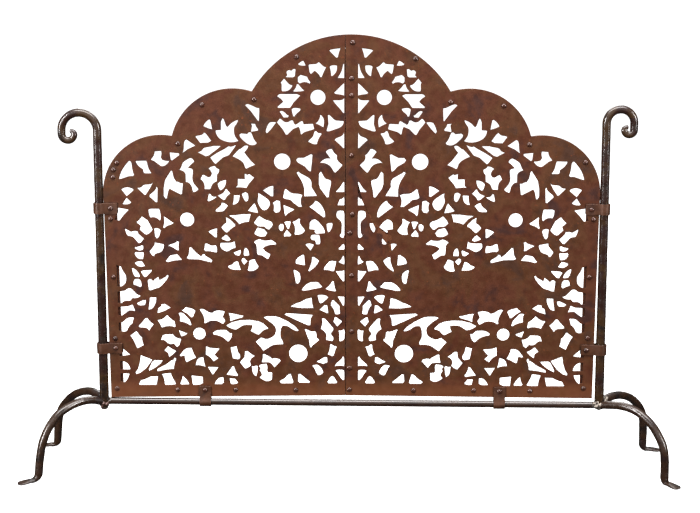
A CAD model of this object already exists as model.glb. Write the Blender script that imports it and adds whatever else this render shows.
"""A forged fireplace screen: two pierced iron sheets riveted to a frame of flat bars, and strapped
to two scrolled posts that stand on four legs.

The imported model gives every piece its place. Each piece is made again here the way a smith leaves
it: plates with soft edges and a slight warp, bars with hammer marks, domed rivets, lumpy welds.
All sizes are in metres. The panel stands in the XZ plane, and its front looks along -Y.
"""

import math
import random

import bmesh
import bpy
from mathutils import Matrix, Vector, noise
from mathutils.bvhtree import BVHTree


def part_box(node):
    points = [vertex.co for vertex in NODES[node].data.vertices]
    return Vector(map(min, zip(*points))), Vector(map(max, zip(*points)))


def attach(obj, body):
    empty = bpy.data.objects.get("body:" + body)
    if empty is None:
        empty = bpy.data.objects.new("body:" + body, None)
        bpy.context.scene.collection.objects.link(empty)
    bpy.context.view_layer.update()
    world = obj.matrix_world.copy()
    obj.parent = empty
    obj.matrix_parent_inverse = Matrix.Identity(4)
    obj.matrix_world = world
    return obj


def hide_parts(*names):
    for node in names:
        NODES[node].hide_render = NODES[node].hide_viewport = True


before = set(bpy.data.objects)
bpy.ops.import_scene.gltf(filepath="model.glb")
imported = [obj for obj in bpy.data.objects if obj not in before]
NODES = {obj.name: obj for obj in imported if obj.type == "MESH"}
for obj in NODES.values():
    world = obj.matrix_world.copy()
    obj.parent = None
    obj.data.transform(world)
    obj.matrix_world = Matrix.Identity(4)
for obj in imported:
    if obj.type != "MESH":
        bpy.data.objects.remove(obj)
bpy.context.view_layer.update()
BODY = "root"
MM = 0.001
UP = Vector((0, 0, 1))
BACK = Vector((0, 1, 0))

# The camera stands in front of the screen, a little above its top, and looks down.
CAMERA_PLACE = (0.028, -2.3957, 0.922)
CAMERA_DOWN = math.radians(12.09)
CAMERA_TURN = math.radians(0.72)
CAMERA_LENS = 67.9
CAMERA_SENSOR = 36.0

# The stage: a floor that turns up into a wall, and a sky whose brightness goes by height, from -1
# straight below to 1 straight above.
FLOOR_SIZE = 30.0
FLOOR_COLOUR = (0.92, 0.92, 0.92, 1)
FLOOR_GLOW = 1.0
GLOW_COLOUR = (1, 1, 1, 1)
COVE_RADIUS = 3.0
COVE_STEPS = 12
WALL_HEIGHT = 8.0
SKY = [(-1.0, 0.05), (0.0, 0.03), (0.25, 0.05), (0.6, 0.3), (1.0, 0.5)]

# Softboxes: name, place, width, height and watts. All of them face the lower middle of the panel.
LIGHT_TARGET = (0.0, 0.0, 0.3)
SOFTBOXES = [
    ("top_softbox", (0.0, -0.8, 2.5), 2.8, 1.1, 74),
    ("left_softbox", (-2.6, -2.2, 1.15), 0.5, 1.5, 88),
    ("right_softbox", (2.7, -2.0, 1.15), 0.4, 1.4, 52),
    ("front_softbox", (-0.4, -4.6, 1.6), 5.0, 3.2, 24),
    ("back_softbox", (0.0, 2.8, 2.6), 2.4, 0.8, 58),
]

# How a node's mesh is made whole: points this close are one, and faces this level are one.
MERGE_DISTANCE = 0.01 * MM
LEVEL_ANGLE = math.radians(0.5)

# Plates.
PLATE_EDGE = 0.45 * MM
RIM_ANGLE = math.radians(40)
FLAT_FACE_WEIGHT = 60
PLATE_GRID = 14 * MM
WARP_DEPTH = 1.1 * MM
WARP_SIZE = 150 * MM
DENT_DEPTH = 0.16 * MM
DENT_SIZE = 26 * MM
DENT_RISE = 3
HELD_BAND = 8 * MM
FREE_BAND = 70 * MM

# Posts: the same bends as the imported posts. Each scroll bends over a crown, drops a little, curls
# back and ends in a tip.
POST_LEAN = math.radians(0.74)
POST_RADII = {"foot": 8.75 * MM, "neck": 7.7 * MM, "arm": 7.3 * MM, "bend": 7.2 * MM, "curl": 5.8 * MM,
              "tip": 4.4 * MM}
POST_END_SHARE = 0.6
SCROLLS = {
    "left": {"rise": 525.0 * MM, "crown": 32.6 * MM, "drop": 6.8 * MM, "curl": 11.5 * MM, "tip": 5.4 * MM},
    "right": {"rise": 539.8 * MM, "crown": 24.95 * MM, "drop": 12.5 * MM, "curl": 8.75 * MM, "tip": 4.9 * MM},
}
SIDES = {"left": -1, "right": 1}

# Legs: each centre line runs from near the post's axis over a knee to the ankle, as distance out
# and height. An azimuth is counted from +X towards +Y, and the toe turns on from the leg's own. All
# in millimetres and degrees.
LEGS = {
    "left_front_leg": {
        "side": -1, "azimuth": 219.5, "toe_turn": -8.0, "toe_length": 41.0, "heel_bend": 15.0,
        "line": [(6, 127), (27, 133.6), (50, 134.9), (74, 130), (94, 121), (111, 105.5), (124.5, 85.5),
                 (133, 63.5), (138, 39), (141, 17.5)],
    },
    "left_back_leg": {
        "side": -1, "azimuth": 140.5, "toe_turn": 36.0, "toe_length": 28.0, "heel_bend": 12.0,
        "line": [(6, 134), (36, 137.3), (65, 131.4), (94, 117.6), (118.5, 98), (135, 79), (143.5, 58),
                 (148, 34), (150.5, 15)],
    },
    "right_front_leg": {
        "side": 1, "azimuth": -39.5, "toe_turn": -13.0, "toe_length": 36.0, "heel_bend": 6.0,
        "line": [(6, 123.5), (33, 128.6), (57, 130.4), (78, 126.8), (94.5, 119), (110, 108), (122.5, 94),
                 (134, 75.5), (140, 55), (141.8, 28), (142, 14)],
    },
    "right_back_leg": {
        "side": 1, "azimuth": 39.5, "toe_turn": -47.0, "toe_length": 35.0, "heel_bend": 8.0,
        "line": [(6, 129), (40, 131.7), (66, 127.8), (93, 116.4), (116, 98), (130, 78.5), (135, 54),
                 (136.3, 28), (136.5, 15)],
    },
}
LEG_RADIUS = 7.6 * MM
TURN_STEPS = 18
HEEL_STEPS = 9
HEEL_NARROWING = 0.06
HEEL_FLAT_FROM = 0.15
TOE_HALF_WIDTH = 9.4 * MM
TOE_STEPS = 10
TOE_WIDE_FROM = 0.9
TOE_TIP_LENGTH = 7.5 * MM
TOE_TIP_STEPS = 9
TOE_HALF_THICKNESS = 2.6 * MM
HEEL_HALF_THICKNESS = TOE_HALF_THICKNESS * 1.25
TOE_TIP_HALF_THICKNESS = 1.9 * MM
TOE_CLEARANCE = 0.25 * MM

# Hand-forged bars. A section's squareness is 2 for a circle, and more as it is beaten flat. Fine
# hammer marks lie over the broad ones.
BAR_STEP = 2.2 * MM
BAR_SIDES = 28
BAR_SQUARENESS = 2.25
FLAT_SQUARENESS = 0.6
TOE_SQUARENESS = 4.0
END_ANGLE = math.radians(86)
HAMMER_SIZE = 17 * MM
HAMMER_DEPTH = 0.33 * MM
FINE_HAMMER_RATIO = 2.6
FINE_HAMMER_SHARE = 0.35

RAIL_RADIUS = 6.5 * MM
RAIL_MARK_SIZE = 40 * MM
RAIL_MARK_DEPTH = 0.12 * MM

# Flat pieces, and rivets. A rivet's roundness is lower where its end is beaten flatter.
FRAME_BARS = ["left_stile", "right_stile", "bottom_bar", "centre_bar", "left_outer_strip",
              "right_outer_strip", "left_middle_strip", "right_middle_strip", "central_arch_strip"]
STRAPS = ["left_upper_strap", "left_lower_strap", "right_upper_strap", "right_lower_strap",
          "left_rail_strap", "right_rail_strap"]
RIVET_NODES = ["left_stile_rivets", "right_stile_rivets", "bottom_rivets", "centre_rivets", "lobe_rivets",
               "arch_rivets", "post_strap_rivets", "rail_strap_rivets"]
HEAD_HEIGHT = 2.6 * MM
HEAD_ROUNDNESS = 0.9
TAIL_HEIGHT = 1.6 * MM
TAIL_ROUNDNESS = 0.55
TAIL_RADIUS_SHARE = 0.87
RIVET_SIDES = 20
RIVET_RINGS = 6
RIVET_RIM_SHARE = 0.94
RIVET_TILT = 0.1
RIVET_STRETCH = (0.93, 1.05)
RIVET_MARK_SIZE = 5 * MM
RIVET_MARK_DEPTH = 0.5 * MM
MARK_SHIFT = 9

# Tenons: heights from the top, then from the lowest point, each with its share of the radius.
TENON_TOP = [(0.0, 0.97), (-2.5 * MM, 1.0)]
TENON_END = [(3.6 * MM, 1.06), (1.6 * MM, 1.02), (0.5 * MM, 0.82)]
TENON_CAP = 0.5 * MM
TENON_MARK_SIZE = 7 * MM
TENON_MARK_DEPTH = 0.5 * MM

# Welds: lumps of metal round a post's foot, as distances out, back and up from it, and a radius,
# in millimetres.
LEFT_LUMPS = [(0, -6.5, 7, 4.6), (-6, -5.5, 5, 4.0), (6, -6, 9, 4.4), (11, -8, 11, 4.6), (-9, -1, 9, 4.0),
              (9, 6, 12, 5.0), (3, -6.5, 1, 3.6), (0, 6, 9, 4.6)]
RIGHT_LUMPS = [(-10, -4.5, 8, 4.4), (-6, -6, 4, 4.6), (-2, -6.8, 6, 4.8), (3, -7, 8, 4.8), (8, -6.5, 8, 4.6),
               (12, -3, 14, 4.4), (9, 4, 17, 4.2), (-4, -5.5, 12, 4.0), (4, 6, 10, 5.0), (-1, -6.5, 1, 4.2),
               (15, 2, 18, 3.6), (-13, -3, 5, 3.6)]
MELT_GRAIN = 0.7 * MM
WELD_BUMP_SIZE = 4.5 * MM
WELD_BUMP_DEPTH = 0.75
WELD_GRIT_SIZE = 1.9 * MM
WELD_GRIT_DEPTH = 0.4

# The places of the colours among the Mix node's sockets, several of which share a name.
MIX_FIRST_COLOUR = 6
MIX_SECOND_COLOUR = 7
MIX_RESULT_COLOUR = 2

# Patterns in the iron. A size is how broad its marks are, and a shift moves one noise away from
# another. A band is where a noise begins to show and where it shows fully.
MOTTLE_SIZE = 14 * MM
MOTTLE_SHIFT = 3.1
MOTTLE_DARKEST = 0.20
MOTTLE_PALEST = 0.18
FINE_SIZE = 2.2 * MM
FINE_SHIFT = 7.7
TONE_BAND = (0.34, 0.66)
TONE_MOTTLING = 0.25
SHADE_BAND = (0.25, 0.75)
SOOT_SIZE = 34 * MM
SOOT_SHIFT = 5.3
SOOT_BAND = (0.55, 0.72)
SOOT_SHARE = 0.55
SPECK_SIZE = 5.5 * MM
SPECK_SHIFT = 1.9
SPECK_BAND = (0.63, 0.72)
RUSTY_BAND = (0.38, 0.62)
RUST_LEAST = 0.15
EDGE_WIDTH = 0.9 * MM
EDGE_BAND = (0.99, 0.80)
RUB_BAND = (0.30, 0.62)
RUB_LEAST = 0.25
GLOSS_BAND = (0.32, 0.68)
RUST_DULLNESS = 0.18
RUB_GLOSS = 0.15
PIT_SIZE = 4.5 * MM
PIT_SMOOTHNESS = 0.6
PIT_SHARE = 0.5
FINE_SHARE = 0.6
RELIEF_DEPTH = 0.22 * MM
RELIEF_STRENGTH = 0.55

# Rust is brighter along the panel's foot, and grime gathers in corners.
DAMP_BAND = (0.175, 0.150)
DAMP_SHARE = 0.55
CREVICE_REACH = 5 * MM
CREVICE_BAND = (0.95, 0.45)
CREVICE_SHARE = 0.8
EDGE_SAMPLES = 4
CREVICE_SAMPLES = 6


# Meshes.

def piece_from(bm, name, material, slot, *nodes):
    """Turns a bmesh into a piece of the object that stands for one or more nodes of the frame."""
    bmesh.ops.recalc_face_normals(bm, faces=bm.faces)
    mesh = bpy.data.meshes.new(name)
    bm.to_mesh(mesh)
    bm.free()
    mesh.shade_smooth()
    mesh.materials.append(material)
    piece = bpy.data.objects.new(name, mesh)
    bpy.context.scene.collection.objects.link(piece)
    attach(piece, BODY)
    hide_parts(*nodes)
    return piece


def shade_flat_faces(piece):
    """Keeps the broad faces of a plate flat in the light, while its narrow edges stay round."""
    weighted = piece.modifiers.new("flat_faces", "WEIGHTED_NORMAL")
    weighted.weight = FLAT_FACE_WEIGHT


def node_mesh(node):
    """A node's mesh as one closed surface, with its flat faces in as few pieces as can be."""
    bm = bmesh.new()
    bm.from_mesh(NODES[node].data)
    bmesh.ops.remove_doubles(bm, verts=bm.verts, dist=MERGE_DISTANCE)
    bmesh.ops.dissolve_limit(bm, angle_limit=LEVEL_ANGLE, verts=bm.verts, edges=bm.edges)
    return bm


def soften_edges(bm, width):
    """Takes the sharpness off the rims of a plate and of its holes."""
    rims = [edge for edge in bm.edges if edge.is_manifold and edge.calc_face_angle() > RIM_ANGLE]
    bmesh.ops.bevel(bm, geom=rims, offset=width, offset_type="OFFSET", segments=2, profile=0.5,
                    affect="EDGES", clamp_overlap=False, miter_outer="ARC", miter_inner="SHARP")


def cut_on_grid(bm, spacing):
    """Divides a plate along an upright square grid, so that it can be warped."""
    bmesh.ops.triangulate(bm, faces=bm.faces)
    for normal in (Vector((1, 0, 0)), UP):
        along = [vertex.co.dot(normal) for vertex in bm.verts]
        first = math.ceil(min(along) / spacing)
        last = math.floor(max(along) / spacing)
        for number in range(first, last + 1):
            geometry = bm.verts[:] + bm.edges[:] + bm.faces[:]
            bmesh.ops.bisect_plane(bm, geom=geometry, plane_co=normal * number * spacing, plane_no=normal)
    bmesh.ops.triangulate(bm, faces=bm.faces)


def smooth_step(value, low, high):
    """0 below low, 1 above high, and a smooth rise between."""
    share = min(1.0, max(0.0, (value - low) / (high - low)))
    return share * share * (3 - 2 * share)


def panel_frame():
    """A search tree of the bars that hold the sheets flat."""
    corners = []
    faces = []
    for node in FRAME_BARS:
        mesh = NODES[node].data
        first = len(corners)
        corners += [vertex.co.copy() for vertex in mesh.vertices]
        faces += [[first + corner for corner in face.vertices] for face in mesh.polygons]
    return BVHTree.FromPolygons(corners, faces)


def warp_sheet(bm, held_by):
    """Lets a sheet belly and dent a little wherever no bar holds it."""
    for vertex in bm.verts:
        place = Vector((vertex.co.x, 0, vertex.co.z))
        nearest = held_by.find_nearest(vertex.co)
        free = smooth_step(nearest[3], HELD_BAND, FREE_BAND)
        belly = WARP_DEPTH * noise.noise(place / WARP_SIZE)
        dents = DENT_DEPTH * noise.noise(place / DENT_SIZE)
        vertex.co.y += free * belly + min(1.0, free * DENT_RISE) * dents


def make_sheets(material):
    held_by = panel_frame()
    for side in SIDES:
        node = f"{side}_sheet"
        bm = node_mesh(node)
        soften_edges(bm, PLATE_EDGE)
        cut_on_grid(bm, PLATE_GRID)
        warp_sheet(bm, held_by)
        shade_flat_faces(piece_from(bm, f"{node}_cut", material, "browned_sheet", node))


def make_flat_pieces(nodes, material, slot):
    for node in nodes:
        bm = node_mesh(node)
        soften_edges(bm, PLATE_EDGE)
        shade_flat_faces(piece_from(bm, f"{node}_filed", material, slot, node))


# Forged bars.

def hammered(point, size, depth):
    """How far hammer marks push a surface in or out at a point."""
    broad = noise.noise(point / size)
    fine = noise.noise(point * FINE_HAMMER_RATIO / size)
    return depth * (broad + FINE_HAMMER_SHARE * fine)


def rounded_square(angle, squareness):
    """A point on a circle that is slightly squared, as a bar is after hammering."""
    power = 2 / squareness
    across = math.copysign(abs(math.cos(angle)) ** power, math.cos(angle))
    up = math.copysign(abs(math.sin(angle)) ** power, math.sin(angle))
    return across, up


def sweep(rings, depth=HAMMER_DEPTH, size=HAMMER_SIZE):
    """A bar through a list of rings: centre, side direction, other direction and two half sizes."""
    bm = bmesh.new()
    loops = []
    for centre, side, other, half_side, half_other in rings:
        loop = []
        flatness = max(0.0, half_side / half_other - 1)
        squareness = min(TOE_SQUARENESS, BAR_SQUARENESS + FLAT_SQUARENESS * flatness)
        for number in range(BAR_SIDES):
            across, up = rounded_square(math.tau * number / BAR_SIDES, squareness)
            offset = side * (across * half_side) + other * (up * half_other)
            point = centre + offset
            scale = min(1.0, offset.length / LEG_RADIUS)
            point += offset.normalized() * hammered(point, size, depth * scale)
            loop.append(bm.verts.new(point))
        loops.append(loop)
    for here, there in zip(loops, loops[1:]):
        for number in range(BAR_SIDES):
            after = (number + 1) % BAR_SIDES
            bm.faces.new((here[number], here[after], there[after], there[number]))
    for loop, ring in ((loops[0], rings[0]), (loops[-1], rings[-1])):
        middle = bm.verts.new(ring[0])
        for number in range(BAR_SIDES):
            bm.faces.new((loop[number], loop[(number + 1) % BAR_SIDES], middle))
    return bm


def rounded_end(ring, tangent, length, steps=5):
    """Rings that close a bar with a rounded end, from its last ring outwards along the tangent."""
    centre, side, other, half_side, half_other = ring
    rings = []
    for step in range(1, steps + 1):
        angle = END_ANGLE * step / steps
        shrink = math.cos(angle)
        place = centre + tangent * (length * math.sin(angle))
        rings.append((place, side, other, half_side * shrink, half_other * shrink))
    return rings


def walk(runs, step):
    """Points (out, up, heading, radius) along a bar in a plane. It starts upright, and each run is
    a length, the angle that it bends through outwards, and the radii at its two ends."""
    out = 0.0
    up = 0.0
    heading = math.pi / 2
    points = [(out, up, heading, runs[0][2])]
    for length, turn, start_radius, end_radius in runs:
        count = max(1, round(length / step))
        for number in range(1, count + 1):
            middle = heading - turn / count / 2
            out += math.cos(middle) * length / count
            up += math.sin(middle) * length / count
            heading -= turn / count
            radius = start_radius + (end_radius - start_radius) * number / count
            points.append((out, up, heading, radius))
    return points


def make_post(side_name, material):
    """A bar that leans a little, tapers upwards and ends in a scroll turned outwards."""
    side = SIDES[side_name]
    scroll = SCROLLS[side_name]
    low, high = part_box(f"{side_name}_tenon")
    foot = Vector(((low.x + high.x) / 2, 0, high.z))
    outwards = Vector((side * math.cos(POST_LEAN), 0, math.sin(POST_LEAN)))
    upwards = Vector((-side * math.sin(POST_LEAN), 0, math.cos(POST_LEAN)))
    radii = POST_RADII
    runs = [
        (scroll["rise"], 0.0, radii["foot"], radii["neck"]),
        (math.pi * scroll["crown"], math.pi, radii["neck"], radii["arm"]),
        (scroll["drop"], 0.0, radii["arm"], radii["bend"]),
        (math.pi * scroll["curl"], math.pi, radii["bend"], radii["curl"]),
        (math.pi / 2 * scroll["tip"], math.pi / 2, radii["curl"], radii["tip"]),
    ]
    rings = []
    for out, up, heading, radius in walk(runs, BAR_STEP):
        centre = foot + outwards * out + upwards * up
        tangent = outwards * math.cos(heading) + upwards * math.sin(heading)
        rings.append((centre, BACK, tangent.cross(BACK), radius, radius))
    rings += rounded_end(rings[-1], tangent, radii["tip"] * POST_END_SHARE)
    piece_from(sweep(rings), f"{side_name}_post_forged", material, "forged_post", f"{side_name}_post")


def make_rail(material):
    """An almost smooth bar, which fills its box and so slopes down a little to the right."""
    low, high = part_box("bottom_rail")
    radius = RAIL_RADIUS
    start = Vector((low.x, 0, high.z - radius))
    end = Vector((high.x, 0, low.z + radius))
    along = (end - start).normalized()
    count = round((end - start).length / (2 * BAR_STEP))
    rings = []
    for number in range(count + 1):
        centre = start.lerp(end, number / count)
        rings.append((centre, BACK, along.cross(BACK), radius, radius))
    bm = sweep(rings, depth=RAIL_MARK_DEPTH, size=RAIL_MARK_SIZE)
    piece_from(bm, "bottom_rail_forged", material, "forged_rail", "bottom_rail")


def curve_through(points, step):
    """Points a step apart on a smooth curve through the given points."""
    padded = [points[0] * 2 - points[1], *points, points[-1] * 2 - points[-2]]
    fine = []
    for before, start, end, after in zip(padded, padded[1:], padded[2:], padded[3:]):
        pull_out = (end - before) / 2
        pull_in = (after - start) / 2
        count = max(2, math.ceil((end - start).length / step))
        for number in range(count):
            t = number / count
            fine.append(start * (2 * t**3 - 3 * t**2 + 1) + pull_out * (t**3 - 2 * t**2 + t)
                        + end * (3 * t**2 - 2 * t**3) + pull_in * (t**3 - t**2))
    return fine + [points[-1]]


def direction(azimuth):
    return Vector((math.cos(azimuth), math.sin(azimuth), 0))


def make_leg(node, material):
    """A round bar bent over a knee, then bent again at the heel and beaten out into a toe."""
    leg = LEGS[node]
    azimuth = math.radians(leg["azimuth"])
    toe_azimuth = azimuth + math.radians(leg["toe_turn"])
    low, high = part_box("left_tenon" if leg["side"] < 0 else "right_tenon")
    post = Vector(((low.x + high.x) / 2, 0, 0))
    line = curve_through([Vector((out, up, 0)) * MM for out, up in leg["line"]], BAR_STEP)
    centres = [post + direction(azimuth) * point.x + UP * point.y for point in line]
    shapes = [(LEG_RADIUS, LEG_RADIUS)] * len(centres)

    # The heel bends from the ankle down to level, in the toe's direction.
    ankle = centres[-1]
    toe_height = TOE_HALF_THICKNESS + TOE_CLEARANCE
    bend = leg["heel_bend"] * MM
    drop = ankle.z - toe_height
    for number in range(1, HEEL_STEPS + 1):
        share = number / HEEL_STEPS
        angle = math.pi / 2 * share
        centres.append(ankle + direction(toe_azimuth) * bend * (1 - math.cos(angle))
                       - UP * drop * math.sin(angle))
        thick = LEG_RADIUS + (HEEL_HALF_THICKNESS - LEG_RADIUS) * smooth_step(share, HEEL_FLAT_FROM, 1)
        shapes.append((LEG_RADIUS * (1 - HEEL_NARROWING * math.sin(angle)), thick))

    # The toe lies on the floor, and grows wider and thinner towards its tip.
    heel = centres[-1]
    heel_half_width = LEG_RADIUS * (1 - HEEL_NARROWING)
    length = leg["toe_length"] * MM - bend - TOE_TIP_LENGTH
    for number in range(1, TOE_STEPS + 1):
        share = number / TOE_STEPS
        centre = heel + direction(toe_azimuth) * length * share
        width = heel_half_width + (TOE_HALF_WIDTH - heel_half_width) * smooth_step(share, 0, TOE_WIDE_FROM)
        thick = HEEL_HALF_THICKNESS + (TOE_TIP_HALF_THICKNESS - HEEL_HALF_THICKNESS) * share
        centre.z = thick + TOE_CLEARANCE
        centres.append(centre)
        shapes.append((width, thick))

    # Above the ankle the sections turn from the leg's direction to the toe's.
    rings = []
    for number, (centre, (half_side, half_other)) in enumerate(zip(centres, shapes)):
        before = centres[max(0, number - 1)]
        after = centres[min(len(centres) - 1, number + 1)]
        tangent = (after - before).normalized()
        ahead = number + TURN_STEPS - len(line)
        turned = azimuth + (toe_azimuth - azimuth) * smooth_step(ahead, 0, TURN_STEPS)
        side = direction(turned + math.pi / 2)
        side = (side - tangent * side.dot(tangent)).normalized()
        rings.append((centre, side, tangent.cross(side), half_side, half_other))
    rings += rounded_end(rings[-1], tangent, TOE_TIP_LENGTH, steps=TOE_TIP_STEPS)
    piece_from(sweep(rings), f"{node}_forged", material, "forged_leg", node)


# Small ironwork.

def islands(node):
    """The box of each separate solid in a node."""
    bm = bmesh.new()
    bm.from_mesh(NODES[node].data)
    bmesh.ops.remove_doubles(bm, verts=bm.verts, dist=MERGE_DISTANCE)
    waiting = set(bm.verts)
    boxes = []
    while waiting:
        stack = [waiting.pop()]
        found = []
        while stack:
            vertex = stack.pop()
            found.append(vertex.co.copy())
            for edge in vertex.link_edges:
                other = edge.other_vert(vertex)
                if other in waiting:
                    waiting.remove(other)
                    stack.append(other)
        low = Vector(min(point[axis] for point in found) for axis in range(3))
        high = Vector(max(point[axis] for point in found) for axis in range(3))
        boxes.append((low, high))
    bm.free()
    return sorted(boxes, key=lambda box: (round(box[0].x, 4), round(box[0].z, 4)))


def add_button(bm, centre, outwards, radius, height, roundness, chance):
    """A beaten rivet end: a low dome, or a flattened one, slightly out of round."""
    tilt = Vector((chance.uniform(-RIVET_TILT, RIVET_TILT), 0, chance.uniform(-RIVET_TILT, RIVET_TILT)))
    shift = Vector([chance.uniform(-MARK_SHIFT, MARK_SHIFT) for axis in "xyz"])
    stretch = chance.uniform(*RIVET_STRETCH)
    loops = []
    for ring in range(RIVET_RINGS + 1):
        lift = ring / (RIVET_RINGS + 1)
        angle = lift * math.pi / 2
        reach = radius * math.cos(angle) ** roundness * (RIVET_RIM_SHARE if ring == 0 else 1.0)
        rise = height * math.sin(angle)
        loop = []
        for number in range(RIVET_SIDES):
            turn = math.tau * number / RIVET_SIDES
            across = Vector((math.cos(turn) * reach * stretch, 0, math.sin(turn) * reach / stretch))
            point = centre + across + (outwards + tilt * lift) * rise
            mark = RIVET_MARK_DEPTH * lift * noise.noise(point / RIVET_MARK_SIZE + shift)
            point += (across / radius + outwards) * mark
            loop.append(bm.verts.new(point))
        loops.append(loop)
    for here, there in zip(loops, loops[1:]):
        for number in range(RIVET_SIDES):
            after = (number + 1) % RIVET_SIDES
            bm.faces.new((here[number], here[after], there[after], there[number]))
    bm.faces.new(loops[-1])
    bm.faces.new(loops[0][::-1])


def make_rivets(material):
    """Each rivet's solid is made again as a head in front and a flatter tail behind."""
    for node in RIVET_NODES:
        chance = random.Random(node)
        bm = bmesh.new()
        for low, high in islands(node):
            centre = (low + high) / 2
            radius = (high.x - low.x) / 2
            head = Vector((centre.x, low.y + HEAD_HEIGHT, centre.z))
            tail = Vector((centre.x, high.y - TAIL_HEIGHT, centre.z))
            add_button(bm, head, -BACK, radius, HEAD_HEIGHT, HEAD_ROUNDNESS, chance)
            add_button(bm, tail, BACK, radius * TAIL_RADIUS_SHARE, TAIL_HEIGHT, TAIL_ROUNDNESS, chance)
        piece_from(bm, f"{node}_beaten", material, "rivet_iron", node)


def make_tenon(side_name, material):
    """The peened end of a post, below the joint with the legs."""
    low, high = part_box(f"{side_name}_tenon")
    middle = (low + high) / 2
    radius = (high.x - low.x) / 2
    profile = [(high.z + height, share) for height, share in TENON_TOP]
    profile += [(low.z + height, share) for height, share in TENON_END]
    rings = []
    for height, share in profile:
        rings.append((Vector((middle.x, 0, height)), BACK, Vector((1, 0, 0)), radius * share, radius * share))
    rings += rounded_end(rings[-1], -UP, TENON_CAP)
    bm = sweep(rings, depth=TENON_MARK_DEPTH, size=TENON_MARK_SIZE)
    piece_from(bm, f"{side_name}_tenon_peened", material, "forged_post", f"{side_name}_tenon")


def make_weld(side_name, lumps, material, slot):
    """Weld metal as a string of overlapping lumps, melted into one and left rough."""
    low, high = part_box(f"{side_name}_tenon")
    side = SIDES[side_name]
    origin = Vector(((low.x + high.x) / 2, 0, high.z))
    bm = bmesh.new()
    for out, depth, up, radius in lumps:
        made = bmesh.ops.create_icosphere(bm, subdivisions=4, radius=radius * MM)
        centre = origin + Vector((side * out, depth, up)) * MM
        for vertex in made["verts"]:
            vertex.co += centre
    name = f"{side_name}_weld_lumps"
    piece = piece_from(bm, name, material, slot, f"{side_name}_weld")
    melt = piece.modifiers.new("melt", "REMESH")
    melt.mode = "VOXEL"
    melt.voxel_size = MELT_GRAIN
    settled = bpy.data.meshes.new_from_object(piece.evaluated_get(bpy.context.evaluated_depsgraph_get()))
    piece.modifiers.clear()
    for vertex in settled.vertices:
        point = vertex.co.copy()
        rough = WELD_BUMP_DEPTH * noise.noise(point / WELD_BUMP_SIZE)
        rough += WELD_GRIT_DEPTH * noise.noise(point / WELD_GRIT_SIZE)
        vertex.co = point + vertex.normal * rough * MM
    settled.shade_smooth()
    piece.data = settled


# Materials.

def srgb(red, green, blue):
    """A colour given as it looks on a screen, 0 to 255, as the linear colour that a shader takes."""
    linear = []
    for value in (red, green, blue):
        value /= 255
        linear.append(value / 12.92 if value <= 0.04045 else ((value + 0.055) / 1.055) ** 2.4)
    return (*linear, 1.0)


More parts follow.
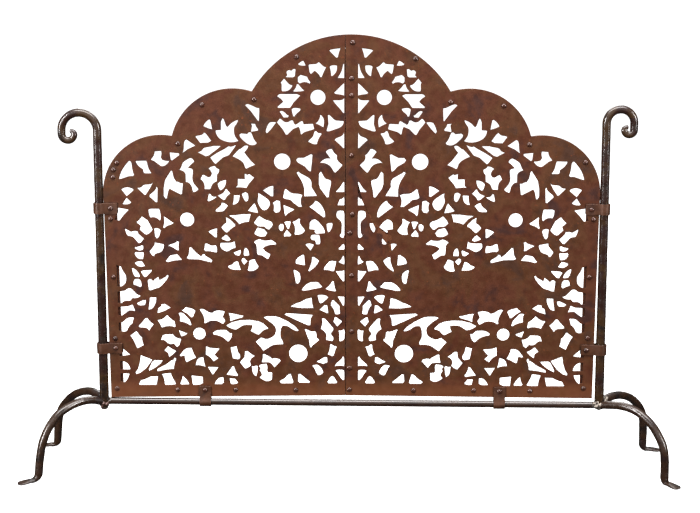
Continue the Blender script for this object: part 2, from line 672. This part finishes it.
class Finish:
    """One procedural material, built node by node. Its patterns are fixed to the object."""

    def __init__(self, name):
        self.material = bpy.data.materials.new(name)
        self.material.use_nodes = True
        self.tree = self.material.node_tree
        self.surface = self.tree.nodes["Principled BSDF"]
        self.place = self.tree.nodes.new("ShaderNodeTexCoord").outputs["Object"]

    def feed(self, socket, value):
        """Links an output to a socket, or sets the socket to a plain value."""
        if isinstance(value, bpy.types.NodeSocket):
            self.tree.links.new(value, socket)
        else:
            socket.default_value = value

    def noise(self, size, detail=4.0, roughness=0.55, distortion=0.0, shift=0.0):
        """Cloudy noise, 0 to 1, whose blotches are about one size across."""
        made = self.tree.nodes.new("ShaderNodeTexNoise")
        moved = self.tree.nodes.new("ShaderNodeMapping")
        self.feed(moved.inputs["Vector"], self.place)
        moved.inputs["Location"].default_value = (shift, shift, shift)
        self.feed(made.inputs["Vector"], moved.outputs["Vector"])
        made.inputs["Scale"].default_value = 1 / size
        made.inputs["Detail"].default_value = detail
        made.inputs["Roughness"].default_value = roughness
        made.inputs["Distortion"].default_value = distortion
        return made.outputs["Fac"]

    def pits(self, size):
        """Rounded pits, 0 in the middle of each."""
        made = self.tree.nodes.new("ShaderNodeTexVoronoi")
        made.feature = "SMOOTH_F1"
        self.feed(made.inputs["Vector"], self.place)
        made.inputs["Scale"].default_value = 1 / size
        made.inputs["Smoothness"].default_value = PIT_SMOOTHNESS
        return made.outputs["Distance"]

    def remap(self, value, low, high, start=0.0, end=1.0):
        """A value that goes smoothly from start to end while another goes from low to high."""
        made = self.tree.nodes.new("ShaderNodeMapRange")
        made.interpolation_type = "SMOOTHSTEP"
        self.feed(made.inputs["Value"], value)
        for name, number in (("From Min", low), ("From Max", high), ("To Min", start), ("To Max", end)):
            made.inputs[name].default_value = number
        return made.outputs["Result"]

    def maths(self, operation, first, second):
        made = self.tree.nodes.new("ShaderNodeMath")
        made.operation = operation
        self.feed(made.inputs[0], first)
        self.feed(made.inputs[1], second)
        return made.outputs["Value"]

    def blend_of(self, first, second, share):
        """A value that is mostly the first, with a share of the second."""
        most = self.maths("MULTIPLY", first, 1 - share)
        rest = self.maths("MULTIPLY", second, share)
        return self.maths("ADD", most, rest)

    def mix(self, amount, first, second, blend="MIX"):
        made = self.tree.nodes.new("ShaderNodeMix")
        made.data_type = "RGBA"
        made.blend_type = blend
        self.feed(made.inputs["Factor"], amount)
        self.feed(made.inputs[MIX_FIRST_COLOUR], first)
        self.feed(made.inputs[MIX_SECOND_COLOUR], second)
        return made.outputs[MIX_RESULT_COLOUR]

    def ramp(self, value, stops):
        made = self.tree.nodes.new("ShaderNodeValToRGB")
        made.color_ramp.interpolation = "EASE"
        elements = made.color_ramp.elements
        while len(elements) < len(stops):
            elements.new(0.5)
        for element, (position, colour) in zip(elements, stops):
            element.position = position
            element.color = colour
        self.feed(made.inputs["Fac"], value)
        return made.outputs["Color"]

    def edges(self, radius):
        """1 along convex and concave edges and 0 on flat faces, from the rounded normal."""
        rounded = self.tree.nodes.new("ShaderNodeBevel")
        rounded.samples = EDGE_SAMPLES
        rounded.inputs["Radius"].default_value = radius
        plain = self.tree.nodes.new("ShaderNodeNewGeometry")
        product = self.tree.nodes.new("ShaderNodeVectorMath")
        product.operation = "DOT_PRODUCT"
        self.feed(product.inputs[0], rounded.outputs["Normal"])
        self.feed(product.inputs[1], plain.outputs["Normal"])
        return self.remap(product.outputs["Value"], *EDGE_BAND)

    def crevices(self, reach):
        """1 in the open and less in corners, such as round a rivet's head."""
        made = self.tree.nodes.new("ShaderNodeAmbientOcclusion")
        made.samples = CREVICE_SAMPLES
        made.inputs["Distance"].default_value = reach
        return made.outputs["AO"]

    def height(self):
        """How high a point is above the floor."""
        parts = self.tree.nodes.new("ShaderNodeSeparateXYZ")
        self.feed(parts.inputs["Vector"], self.place)
        return parts.outputs["Z"]

    def relief(self, height, distance, strength):
        made = self.tree.nodes.new("ShaderNodeBump")
        made.inputs["Distance"].default_value = distance
        made.inputs["Strength"].default_value = strength
        self.feed(made.inputs["Height"], height)
        self.feed(self.surface.inputs["Normal"], made.outputs["Normal"])


def iron(name, tones, dark, rust, worn, metallic, gloss, ior=1.5, rusting=0.5, wear=0.5, patch=95 * MM,
         mottling=1.0, sooting=1.0, grain=1.0, damp=None):
    """Old iron. Tones are the colours of its broad patches, dark is the soot in its hollows, rust
    is the colour of its specks and worn is the colour of its rubbed edges. Gloss is the roughness
    where it is smoothest and where it is dullest. Damp is the colour that a panel takes on along
    its foot. Patch is the size of the broad patches. Rusting, wear, mottling, sooting and grain say
    how strongly each of these shows."""
    finish = Finish(name)

    # Broad patches of colour, broken up by mottling.
    broad = finish.noise(patch, detail=3.0, distortion=0.6)
    mottle = finish.noise(MOTTLE_SIZE, detail=6.0, roughness=0.62, shift=MOTTLE_SHIFT)
    fine = finish.noise(FINE_SIZE, detail=4.0, roughness=0.6, shift=FINE_SHIFT)
    first, last = TONE_BAND
    stops = [(first + (last - first) * number / (len(tones) - 1), tone) for number, tone in enumerate(tones)]
    colour = finish.ramp(finish.blend_of(broad, mottle, TONE_MOTTLING * mottling), stops)
    darkest = 1.0 - MOTTLE_DARKEST * mottling
    palest = 1.0 + MOTTLE_PALEST * mottling
    shade = finish.remap(mottle, *SHADE_BAND, darkest, palest)
    colour = finish.mix(1.0, colour, shade, "MULTIPLY")

    # Soot, specks of rust, the damp foot, and grime in the corners.
    soot = finish.noise(SOOT_SIZE, detail=5.0, roughness=0.6, shift=SOOT_SHIFT)
    colour = finish.mix(finish.remap(soot, *SOOT_BAND, 0.0, SOOT_SHARE * sooting), colour, dark)
    specks = finish.noise(SPECK_SIZE, detail=3.0, roughness=0.5, shift=SPECK_SHIFT)
    speckled = finish.remap(specks, *SPECK_BAND)
    rusty = finish.maths("MULTIPLY", speckled, finish.remap(broad, *RUSTY_BAND, RUST_LEAST, 1.0))
    colour = finish.mix(finish.maths("MULTIPLY", rusty, rusting), colour, rust)
    if damp:
        low = finish.remap(finish.height(), *DAMP_BAND, 0.0, DAMP_SHARE)
        colour = finish.mix(low, colour, damp)
    grime = finish.remap(finish.crevices(CREVICE_REACH), *CREVICE_BAND, 0.0, CREVICE_SHARE)
    colour = finish.mix(grime, colour, dark)

    # Edges that hands and cloths have rubbed.
    rubbed = finish.maths("MULTIPLY", finish.edges(EDGE_WIDTH), finish.remap(fine, *RUB_BAND, RUB_LEAST, 1.0))
    rubbed = finish.maths("MULTIPLY", rubbed, wear)
    colour = finish.mix(rubbed, colour, worn)
    finish.feed(finish.surface.inputs["Base Color"], colour)

    # Rust is duller than the rest, and rubbed edges are glossier.
    dull = finish.remap(mottle, *GLOSS_BAND, *gloss)
    dull = finish.maths("ADD", dull, finish.maths("MULTIPLY", rusty, RUST_DULLNESS))
    dull = finish.maths("SUBTRACT", dull, finish.maths("MULTIPLY", rubbed, RUB_GLOSS))
    finish.feed(finish.surface.inputs["Roughness"], dull)
    finish.surface.inputs["Metallic"].default_value = metallic
    finish.surface.inputs["IOR"].default_value = ior

    # A skin of pits and fine grain.
    skin = finish.maths("MULTIPLY", finish.pits(PIT_SIZE), PIT_SHARE)
    skin = finish.maths("ADD", skin, finish.maths("MULTIPLY", fine, FINE_SHARE))
    skin = finish.maths("ADD", skin, mottle)
    finish.relief(skin, RELIEF_DEPTH, RELIEF_STRENGTH * grain)
    return finish.material


# The look of each kind of metal.
BROWNED = iron(
    "browned_sheet_iron",
    tones=[srgb(74, 42, 35), srgb(94, 48, 27), srgb(94, 54, 28), srgb(78, 47, 31)],
    dark=srgb(50, 31, 25), rust=srgb(146, 70, 28), worn=srgb(150, 94, 64),
    metallic=0.3, gloss=(0.42, 0.58), rusting=0.5, wear=0.5, patch=70 * MM, mottling=0.7, sooting=0.7,
    damp=srgb(134, 78, 47),
)
FRAME_IRON = iron(
    "frame_bar_iron",
    tones=[srgb(78, 44, 34), srgb(96, 52, 32), srgb(96, 56, 34)],
    dark=srgb(50, 31, 25), rust=srgb(142, 70, 30), worn=srgb(150, 94, 64),
    metallic=0.3, gloss=(0.42, 0.58), rusting=0.5, wear=0.5, mottling=0.7, sooting=0.7,
)
RIVET_IRON = iron(
    "rivet_iron",
    tones=[srgb(64, 36, 28), srgb(92, 50, 34), srgb(74, 42, 30)],
    dark=srgb(40, 25, 20), rust=srgb(136, 68, 32), worn=srgb(180, 128, 98),
    metallic=0.3, gloss=(0.22, 0.34), ior=2.0, rusting=0.3, wear=0.3, patch=20 * MM,
)
STRAP_IRON = iron(
    "strap_iron",
    tones=[srgb(82, 50, 32), srgb(98, 58, 36), srgb(86, 52, 38)],
    dark=srgb(46, 30, 24), rust=srgb(140, 72, 34), worn=srgb(188, 130, 96),
    metallic=0.4, gloss=(0.34, 0.48), ior=1.8, rusting=0.4, wear=0.8, patch=40 * MM, mottling=0.7,
)
POST_IRON = iron(
    "oiled_post_iron",
    tones=[srgb(38, 27, 22), srgb(68, 45, 23), srgb(50, 26, 20), srgb(42, 30, 22)],
    dark=srgb(23, 14, 10), rust=srgb(92, 54, 26), worn=srgb(98, 78, 64),
    metallic=0.15, gloss=(0.18, 0.30), ior=1.95, rusting=0.25, wear=0.3, patch=60 * MM, mottling=0.5,
    sooting=0.5, grain=0.35,
)
LEG_IRON = iron(
    "oiled_leg_iron",
    tones=[srgb(33, 22, 17), srgb(60, 38, 22), srgb(40, 22, 18)],
    dark=srgb(21, 12, 9), rust=srgb(88, 50, 25), worn=srgb(94, 76, 62),
    metallic=0.15, gloss=(0.20, 0.32), ior=1.95, rusting=0.25, wear=0.3, patch=55 * MM, mottling=0.5,
    sooting=0.5, grain=0.35,
)
RAIL_IRON = iron(
    "bright_rail_iron",
    tones=[srgb(44, 24, 16), srgb(62, 40, 27), srgb(50, 29, 20)],
    dark=srgb(24, 13, 9), rust=srgb(94, 50, 26), worn=srgb(134, 110, 94),
    metallic=0.2, gloss=(0.12, 0.22), ior=2.3, rusting=0.25, wear=0.3, patch=70 * MM, mottling=0.5,
    sooting=0.5, grain=0.25,
)
WELD_IRON = iron(
    "weld_iron",
    tones=[srgb(74, 50, 44), srgb(124, 86, 78), srgb(86, 58, 52)],
    dark=srgb(36, 26, 24), rust=srgb(140, 78, 50), worn=srgb(190, 154, 140),
    metallic=0.5, gloss=(0.22, 0.40), ior=2.0, rusting=0.4, wear=0.6, patch=9 * MM,
)
BRAZE = iron(
    "braze_metal",
    tones=[srgb(88, 76, 68), srgb(160, 148, 136), srgb(190, 180, 168)],
    dark=srgb(52, 42, 38), rust=srgb(112, 88, 64), worn=srgb(214, 206, 196),
    metallic=0.7, gloss=(0.24, 0.42), ior=2.0, rusting=0.3, wear=0.5, patch=7 * MM,
)


# The stage.

def make_floor():
    """A pale floor that turns up into a pale wall far behind the screen. Metal doesn't mirror it."""
    half = FLOOR_SIZE / 2
    profile = [(-half, 0.0), (half - COVE_RADIUS, 0.0)]
    for number in range(1, COVE_STEPS + 1):
        angle = math.pi / 2 * number / COVE_STEPS
        rise = COVE_RADIUS * (1 - math.cos(angle))
        profile.append((half - COVE_RADIUS + COVE_RADIUS * math.sin(angle), rise))
    profile.append((half, WALL_HEIGHT))
    corners = []
    for depth, height in profile:
        corners += [(-half, depth, height), (half, depth, height)]
    faces = [(2 * n, 2 * n + 1, 2 * n + 3, 2 * n + 2) for n in range(len(profile) - 1)]
    mesh = bpy.data.meshes.new("floor")
    mesh.from_pydata(corners, [], faces)
    mesh.shade_smooth()
    floor = bpy.data.objects.new("floor", mesh)
    bpy.context.scene.collection.objects.link(floor)
    paint = bpy.data.materials.new("pale_floor")
    paint.use_nodes = True
    surface = paint.node_tree.nodes["Principled BSDF"]
    surface.inputs["Base Color"].default_value = FLOOR_COLOUR
    surface.inputs["Roughness"].default_value = 1.0
    surface.inputs["Specular IOR Level"].default_value = 0.0
    surface.inputs["Emission Color"].default_value = GLOW_COLOUR
    surface.inputs["Emission Strength"].default_value = FLOOR_GLOW
    floor.data.materials.append(paint)
    floor.visible_glossy = False
    floor.visible_diffuse = False


def make_softbox(name, place, width, height, power):
    light = bpy.data.lights.new(name, "AREA")
    light.shape = "RECTANGLE"
    light.size = width
    light.size_y = height
    light.energy = power
    lamp = bpy.data.objects.new(name, light)
    lamp.location = place
    lamp.rotation_euler = (Vector(LIGHT_TARGET) - Vector(place)).to_track_quat("-Z", "Y").to_euler()
    lamp.visible_camera = False
    bpy.context.scene.collection.objects.link(lamp)


def make_sky():
    """Soft light from all round, brighter from above and dim below the horizon."""
    world = bpy.data.worlds.new("studio")
    world.use_nodes = True
    tree = world.node_tree
    place = tree.nodes.new("ShaderNodeTexCoord")
    parts = tree.nodes.new("ShaderNodeSeparateXYZ")
    ramp = tree.nodes.new("ShaderNodeValToRGB")
    spread = tree.nodes.new("ShaderNodeMapRange")
    spread.inputs["From Min"].default_value = -1.0
    tree.links.new(place.outputs["Generated"], parts.inputs["Vector"])
    tree.links.new(parts.outputs["Z"], spread.inputs["Value"])
    tree.links.new(spread.outputs["Result"], ramp.inputs["Fac"])
    elements = ramp.color_ramp.elements
    while len(elements) < len(SKY):
        elements.new(0.5)
    for element, (height, brightness) in zip(elements, SKY):
        element.position = (height + 1) / 2
        element.color = (brightness, brightness, brightness, 1)
    tree.links.new(ramp.outputs["Color"], tree.nodes["Background"].inputs["Color"])
    tree.nodes["Background"].inputs["Strength"].default_value = 1.0
    bpy.context.scene.world = world


def make_camera():
    camera = bpy.data.cameras.new("camera")
    camera.lens = CAMERA_LENS
    camera.sensor_width = CAMERA_SENSOR
    seat = bpy.data.objects.new("camera", camera)
    seat.location = CAMERA_PLACE
    seat.rotation_euler = (math.pi / 2 - CAMERA_DOWN, 0, CAMERA_TURN)
    bpy.context.scene.collection.objects.link(seat)
    bpy.context.scene.camera = seat


make_camera()
make_sky()
make_floor()
for softbox in SOFTBOXES:
    make_softbox(*softbox)
bpy.context.scene.view_settings.view_transform = "Standard"

make_sheets(BROWNED)
make_flat_pieces(FRAME_BARS, FRAME_IRON, "frame_bar")
make_flat_pieces(STRAPS, STRAP_IRON, "strap_iron")
make_rivets(RIVET_IRON)
for side_name in SIDES:
    make_post(side_name, POST_IRON)
    make_tenon(side_name, POST_IRON)
for leg_node in LEGS:
    make_leg(leg_node, LEG_IRON)
make_rail(RAIL_IRON)
make_weld("left", LEFT_LUMPS, WELD_IRON, "weld_metal")
make_weld("right", RIGHT_LUMPS, BRAZE, "braze_metal")
